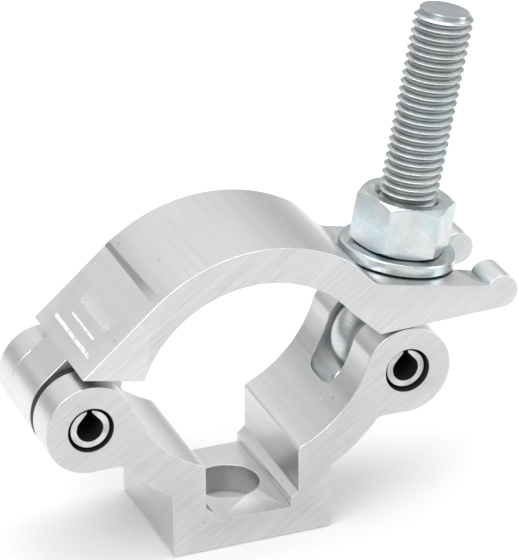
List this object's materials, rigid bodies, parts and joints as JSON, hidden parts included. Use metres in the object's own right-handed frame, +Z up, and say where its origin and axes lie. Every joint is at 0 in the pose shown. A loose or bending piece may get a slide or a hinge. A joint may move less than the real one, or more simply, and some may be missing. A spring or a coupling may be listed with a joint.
{
  "type": "pipe clamp",
  "caption": "Hinged pipe clamp: slotted base with a curved saddle, swinging upper jaw, and an eye bolt with nut and washer that closes the jaw's open fork.",
  "frame": {"origin": "centre of the foot's underside, on the fixing hole's axis", "axes": "+X towards the swing bolt, +Y along the clamped tube, +Z up from the foot"},
  "size_m": [0.0997, 0.03, 0.1026],
  "materials": {
    "base_aluminium": "satin extruded aluminium, saw-cut front and rear faces",
    "jaw_aluminium": "satin extruded aluminium, saw-cut front and rear faces",
    "pin_steel": "plain spring steel",
    "spacer_plastic": "black moulded plastic",
    "bolt_steel": "bright zinc plated, faint blue tint",
    "washer_steel": "bright zinc plated, faint blue tint",
    "nut_steel": "bright zinc plated, faint blue tint"
  },
  "bodies": {
    "base": {"base_body": "base_aluminium"},
    "jaw": {"upper_jaw": "jaw_aluminium", "hinge_pin": "pin_steel", "hinge_spacer": "spacer_plastic"},
    "bolt": {"swing_bolt": "bolt_steel", "swing_bolt_pin": "pin_steel"},
    "washer": {"washer": "washer_steel"},
    "nut": {"nut": "nut_steel"}
  },
  "joints": [
    {"name": "jaw_hinge", "type": "hinge", "parent": "base", "child": "jaw", "pos_m": [-0.0333, 0, 0.032], "axis": [0, -1, 0], "range_deg": [0, 24]},
    {"name": "bolt_swing", "type": "hinge", "parent": "base", "child": "bolt", "pos_m": [0.0333, 0, 0.032], "axis": [0, -1, 0], "range_deg": [0, 24]},
    {"name": "washer_slide", "type": "slide", "parent": "bolt", "child": "washer", "axis": [0.1942, 0, 0.981], "range_m": [0, 0.0278]},
    {"name": "nut_turn", "type": "hinge", "parent": "washer", "child": "nut", "pos_m": [0.03845, 0, 0.058], "axis": [0.1942, 0, 0.981], "range_deg": [0, 5700]}
  ],
  "couplings": [
    {"joint": "jaw_hinge", "follows": "nut_turn", "ratio": 0.0042073},
    {"joint": "bolt_swing", "follows": "nut_turn", "ratio": 0.0042073},
    {"joint": "washer_slide", "follows": "nut_turn", "m_per_rad": 0.00027852}
  ]
}
